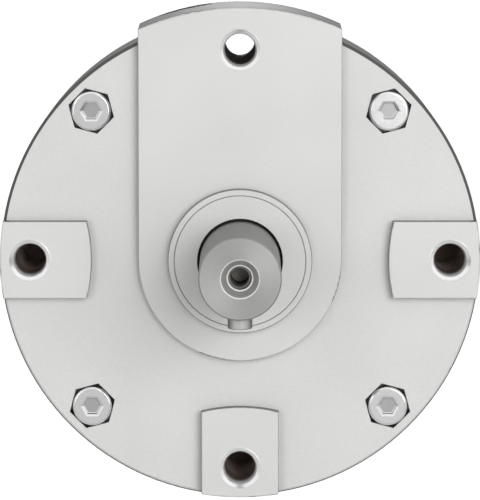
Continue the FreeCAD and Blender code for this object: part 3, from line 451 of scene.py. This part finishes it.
# Painted shade: the key's sides are darker than its ends.
lit_nose_share = ramp(tree, end_on, 0.4, 0.98, curve="SMOOTHSTEP")
painted_flank = blend(tree, grain, "5C5C5B", "6E6E6D")
nose = blend(tree, grain, "B8B8B6", "CCCCCA")
tree.links.new(blend(tree, lit_nose_share, painted_flank, nose), shader.inputs["Base Color"])
dress(drawn_steel, "vane_key")

bm = bmesh.new()
bmesh.ops.create_circle(bm, cap_ends=True, segments=KEY_SIDES, radius=KEY_WIDTH / 2,
                        matrix=Matrix.Rotation(math.pi / KEY_SIDES, 4, "Z"))
half = (KEY_REAR - KEY_FRONT - KEY_WIDTH) / 2
for vert in bm.verts:
    vert.co.y += half if vert.co.y > 0 else -half
    vert.co += Vector((0, (KEY_FRONT + KEY_REAR) / 2, KEY_TOP))
foot = bmesh.ops.extrude_face_region(bm, geom=bm.faces[:])["geom"]
bmesh.ops.translate(bm, verts=[v for v in foot if isinstance(v, bmesh.types.BMVert)],
                    vec=(0, 0, KEY_BOTTOM - KEY_TOP))
edges = [e for e in bm.edges if abs(e.verts[0].co.z - e.verts[1].co.z) < 0.1 * MM]
bmesh.ops.bevel(bm, geom=edges, offset=KEY_EDGE, offset_type="OFFSET", affect="EDGES", segments=3,
                profile=0.5, material=-1)
key = place_piece("drawn_shaft_key", bm, drawn_steel, "rotor")
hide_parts("shaft_key")


# CASING SCREWS. Four zinc-plated socket screws run through both castings. Their heads sit in
# hexagonal pockets of the disc, with a bevelled rim and a pressed hexagonal socket that has a
# chamfered mouth and a second, smaller chamfer round its floor.
SCREW_PLACE = 37.123 * MM
SCREW_PLACES = [Vector((x, 0, z)) for x in (-SCREW_PLACE, SCREW_PLACE)
                for z in (-SCREW_PLACE, SCREW_PLACE)]
HEAD_TOP, HEAD_SEAT = 2 * MM, 8 * MM
HEAD_RADIUS = 4.9 * MM
RIM = ((4.35, 0.0), (4.42, 0.0), (4.47, 0.03), (4.75, 0.3), (4.86, 0.45), (4.9, 0.65))
SOCKET = ((3.45, 1.58), (3.8, 1.46), (4.1, 0.4), (5.1, 0.0), (5.2, 0.0))
SOCKET_FLOOR, SOCKET_FLOOR_HALF = 3.6 * MM, 0.03 * MM
SOCKET_WALL, SOCKET_WALL_HALF = 2.93 * MM, 0.51 * MM
SCREW_RADIUS, SCREW_CORE = 3 * MM, 2.5 * MM
SCREW_END, SCREW_POINT = 53 * MM, 0.5 * MM
RIDGE_START, RIDGE_STOP = 45 * MM, SCREW_END - 0.45 * MM
RIDGE_CREST, RIDGE_ROOT = SCREW_RADIUS - 0.02 * MM, SCREW_CORE + 0.05 * MM
RIDGE_BACK, RIDGE_PITCH = SCREW_CORE - 0.1 * MM, 1.0 * MM
LOOP = 48


def grow_walls(bm, stations, slope=0.0):
    """Walls about Y through stations of (half width, y, sides), round where sides is 0. Slope sets
    the corners of a hexagon back. Returns the first and the last loop of edges."""
    flat = Matrix.Rotation(math.pi / 2, 4, "X")
    verts = bmesh.ops.create_circle(bm, segments=LOOP, radius=1.0, matrix=flat)["verts"]
    bearings = {vert: math.atan2(vert.co.x, vert.co.z) for vert in verts}
    edges = first = list({edge for vert in verts for edge in vert.link_edges})
    for count, (half, y, sides) in enumerate(stations):
        if count:
            made = bmesh.ops.extrude_edge_only(bm, edges=edges)["geom"]
            fresh = {item for item in made if isinstance(item, bmesh.types.BMVert)}
            edges = [item for item in made
                     if isinstance(item, bmesh.types.BMEdge) and fresh.issuperset(item.verts)]
            bearings = {vert: math.atan2(vert.co.x, vert.co.z) for vert in fresh}
        for vert, bearing in bearings.items():
            turn = 2 * math.pi / sides if sides else 0
            stretch = 1 / math.cos((bearing + turn / 2) % turn - turn / 2) if sides else 1
            reach = half * stretch
            setback = slope * (reach - half) * (count > 0)
            vert.co = (reach * math.sin(bearing), y - setback, reach * math.cos(bearing))
    return first, edges


def add_solid(group, bm, move):
    """Adds a closed bmesh to a group at its place, with its faces pointing outwards."""
    bmesh.ops.recalc_face_normals(bm, faces=bm.faces[:])
    bmesh.ops.translate(bm, verts=bm.verts[:], vec=move)
    mesh = bpy.data.meshes.new("solid")
    bm.to_mesh(mesh)
    bm.free()
    group.from_mesh(mesh)
    bpy.data.meshes.remove(mesh)


zinc_plate, tree, shader, place = new_finish("zinc_plated_steel", "ECECEC", 0.95, 0.22)
depth = split(tree, place)["Y"]
dapple = noise(tree, place, 0.7 * MM)
plate = blend(tree, dapple, "E6E6E6", "F0F0F0")
# Painted shade: the socket's floor and its walls are darker than the head.
painted_floor_shade = calc(tree, "COMPARE", depth, SOCKET_FLOOR, SOCKET_FLOOR_HALF)
plate = blend(tree, painted_floor_shade, plate, "C8C8C8")
painted_wall_shade = calc(tree, "COMPARE", depth, SOCKET_WALL, SOCKET_WALL_HALF)
plate = blend(tree, painted_wall_shade, plate, "9C9C9C")
tree.links.new(plate, shader.inputs["Base Color"])
tree.links.new(ramp(tree, dapple, 0.0, 1.0, 0.14, 0.22), shader.inputs["Roughness"])

stations = [(flats / 2 * MM, HEAD_TOP + deep * MM, 6) for flats, deep in SOCKET]
stations += [(radius * MM, HEAD_TOP + deep * MM, 0) for radius, deep in RIM]
stations += [(HEAD_RADIUS, HEAD_SEAT, 0), (SCREW_CORE, HEAD_SEAT, 0),
             (SCREW_CORE, SCREW_END - SCREW_POINT, 0), (SCREW_CORE - SCREW_POINT, SCREW_END, 0)]
screws = bmesh.new()
for spot in SCREW_PLACES:
    bm = bmesh.new()
    for rim in grow_walls(bm, stations):
        bmesh.ops.contextual_create(bm, geom=rim)
    add_solid(screws, bm, spot)
    ridge = bmesh.new()
    thread(ridge, RIDGE_CREST, RIDGE_ROOT, RIDGE_BACK, RIDGE_START, RIDGE_STOP, RIDGE_PITCH)
    add_solid(screws, ridge, spot)
casing_screws = place_piece("casing_screws", screws, zinc_plate, "housing")
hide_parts("cap_screws")


# NUTS. Four hexagon nuts on the screws' ends at the rear, plated like the screws, with the usual
# chamfer turned on their corners and a countersink at the thread.
NUT_SEAT, NUT_END = 47 * MM, 52 * MM
NUT_HALF = 5 * MM
NUT_CHAMFER = 0.2 * MM
NUT_CROWN = NUT_HALF - NUT_CHAMFER
NUT_SLOPE = math.tan(math.radians(30))
SINK_WIDTH, SINK_DEPTH = 0.4 * MM, 0.5 * MM

nuts = bmesh.new()
for spot in SCREW_PLACES:
    bm = bmesh.new()
    grow_walls(bm, [(SCREW_RADIUS, NUT_SEAT, 0), (SCREW_RADIUS, NUT_END - SINK_DEPTH, 0),
                    (SCREW_RADIUS + SINK_WIDTH, NUT_END, 0), (NUT_CROWN, NUT_END, 0),
                    (NUT_HALF, NUT_END - NUT_CHAMFER * NUT_SLOPE, 6)], NUT_SLOPE)
    grow_walls(bm, [(SCREW_RADIUS, NUT_SEAT, 0), (NUT_HALF, NUT_SEAT, 6)])
    rims = [edge for edge in bm.edges if edge.is_boundary and
            min(math.hypot(vert.co.x, vert.co.z) for vert in edge.verts) > NUT_CROWN]
    bmesh.ops.bridge_loops(bm, edges=rims)
    bmesh.ops.remove_doubles(bm, verts=bm.verts[:], dist=WELD)
    add_solid(nuts, bm, spot)
casing_nuts = place_piece("casing_nuts", nuts, zinc_plate, "housing")
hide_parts("hex_nuts")


# INSIDE. Bushes, seals, washers, bumpers, stator and vane seal, which the castings hide. Each
# has the finish of its own material, so a cut or opened model shows what it is made of.
def mixed_finish(name, dark, light, size, metallic, roughness, *nodes):
    """Gives nodes a finish whose colour wavers between two shades over a given size."""
    material, tree, shader, place = new_finish(name, light, metallic, roughness)
    waver = noise(tree, place, size)
    tree.links.new(blend(tree, waver, dark, light), shader.inputs["Base Color"])
    bump = add_node(tree, "Bump", {"Height": waver, "Strength": 0.15, "Distance": 0.04 * MM})
    tree.links.new(bump.outputs["Normal"], shader.inputs["Normal"])
    dress(material, *nodes)


# The bushes are near-black: partly oil in the bronze, partly painted shade for the gap round the
# shaft.
mixed_finish("oiled_sintered_bronze", "1E1813", "2E251C", 0.5 * MM, 0.3, 0.55,
             "front_bush", "rear_bush")
mixed_finish("acetal_washer", "DAD6CA", "EAE7DE", 3 * MM, 0.0, 0.4,
             "front_thrust_washer", "rear_thrust_washer")
mixed_finish("nitrile_rubber", "141414", "202020", 0.6 * MM, 0.0, 0.6,
             "front_shaft_seal", "rear_shaft_seal", "housing_o_ring", "stator_seal", "vane_seal")
mixed_finish("urethane_bumper", "3A1F18", "4A2A20", 0.8 * MM, 0.0, 0.5,
             "left_bumper", "right_bumper")
mixed_finish("milled_aluminium", "B2B2B0", "CCCCCA", 0.8 * MM, 0.8, 0.35, "stator")
mixed_finish("hardened_pin_steel", "8E8E90", "A8A8AA", 0.5 * MM, 0.9, 0.25, "stator_dowels")
mixed_finish("blued_spring_steel", "2A2D33", "3C4047", 0.5 * MM, 0.9, 0.3, "rear_circlip")


# STUDIO. A pale floor well below the part, two large soft lamps in front, a small one behind for
# the port block's crown, and white all round for the camera. Reflections see a white ceiling, and
# a dimmer room at the sides and in front of the part.
CAMERA_PLACE = Vector((0, -955, 102.56)) * MM
CAMERA_AIM = Vector((0, 0, 2.57)) * MM
LENS, SENSOR = 276.98, 36
FLOOR_LEVEL, FLOOR_SIZE = -130 * MM, 6.0
FLOOR_SEEN, FLOOR_MIRRORED = 0.75, 0.52
AMBIENT = 0.35
FRONT_LEVEL, SIDE_LEVEL = 0.6, 0.65
FRONT_CORE, FRONT_EDGE = -0.95, -0.5
CEILING_START = 0.45

bm = bmesh.new()
bmesh.ops.create_grid(bm, x_segments=1, y_segments=1, size=FLOOR_SIZE)
bmesh.ops.translate(bm, verts=bm.verts[:], vec=(0, 0, FLOOR_LEVEL))
floor_mesh = bpy.data.meshes.new("studio_floor")
bm.to_mesh(floor_mesh)
bm.free()
studio_floor = bpy.data.objects.new("studio_floor", floor_mesh)
bpy.context.collection.objects.link(studio_floor)

floor_paper = bpy.data.materials.new("white_studio_paper")
floor_paper.use_nodes = True
tree = floor_paper.node_tree
shader = tree.nodes["Principled BSDF"]
shader.inputs["Roughness"].default_value = 0.9
shader.inputs["Emission Color"].default_value = (1, 1, 1, 1)
seen = add_node(tree, "LightPath").outputs
paper = blend(tree, seen["Is Glossy Ray"], "F4F4F4", "181818")
tree.links.new(paper, shader.inputs["Base Color"])
mirrored = calc(tree, "MULTIPLY", seen["Is Glossy Ray"], FLOOR_MIRRORED)
lift = calc(tree, "MULTIPLY_ADD", seen["Is Camera Ray"], FLOOR_SEEN, mirrored)
tree.links.new(lift, shader.inputs["Emission Strength"])
floor_mesh.materials.append(floor_paper)

world = bpy.data.worlds.new("studio_world")
bpy.context.scene.world = world
world.use_nodes = True
tree = world.node_tree
seen = add_node(tree, "LightPath").outputs
way = split(tree, add_node(tree, "TexCoord").outputs["Generated"])
ceiling = ramp(tree, way["Z"], 0.0, CEILING_START, SIDE_LEVEL, 1.0, "SMOOTHSTEP")
mirrored = ramp(tree, way["Y"], FRONT_CORE, FRONT_EDGE, FRONT_LEVEL, ceiling, "SMOOTHSTEP")
mirrored = add_node(tree, "Mix", {0: seen["Is Glossy Ray"], 2: AMBIENT, 3: mirrored}).outputs[0]
direct = calc(tree, "MAXIMUM", seen["Is Camera Ray"], seen["Is Transmission Ray"])
background = tree.nodes["Background"]
background.inputs["Color"].default_value = (1, 1, 1, 1)
tree.links.new(calc(tree, "MAXIMUM", direct, mirrored), background.inputs["Strength"])

for name, place, aim, size, power, spread in (
        ("right_softbox", (0.47, -1.1, 0.27), (0, 0, 0), 0.7, 6.9, 180),
        ("left_softbox", (-0.6, -1.1, 0.15), (0, 0, 0), 0.5, 2.1, 180),
        ("crown_light", (0.0, 0.32, 0.3), (0, 0.03, 0.063), 0.05, 0.0072, 10)):
    lamp = bpy.data.lights.new(name, "AREA")
    lamp.shape = "SQUARE"
    lamp.size = size
    lamp.energy = power
    lamp.spread = math.radians(spread)
    holder = bpy.data.objects.new(name, lamp)
    holder.location = place
    holder.rotation_euler = (Vector(aim) - Vector(place)).to_track_quat("-Z", "Y").to_euler()
    holder.visible_camera = False
    bpy.context.collection.objects.link(holder)

camera = bpy.data.cameras.new("product_camera")
camera.sensor_width = SENSOR
camera.lens = LENS
camera.clip_end = 50
eye = bpy.data.objects.new("product_camera", camera)
eye.location = CAMERA_PLACE
eye.rotation_euler = (CAMERA_AIM - CAMERA_PLACE).to_track_quat("-Z", "Y").to_euler()
bpy.context.collection.objects.link(eye)
bpy.context.scene.camera = eye
bpy.context.scene.view_settings.view_transform = "Standard"
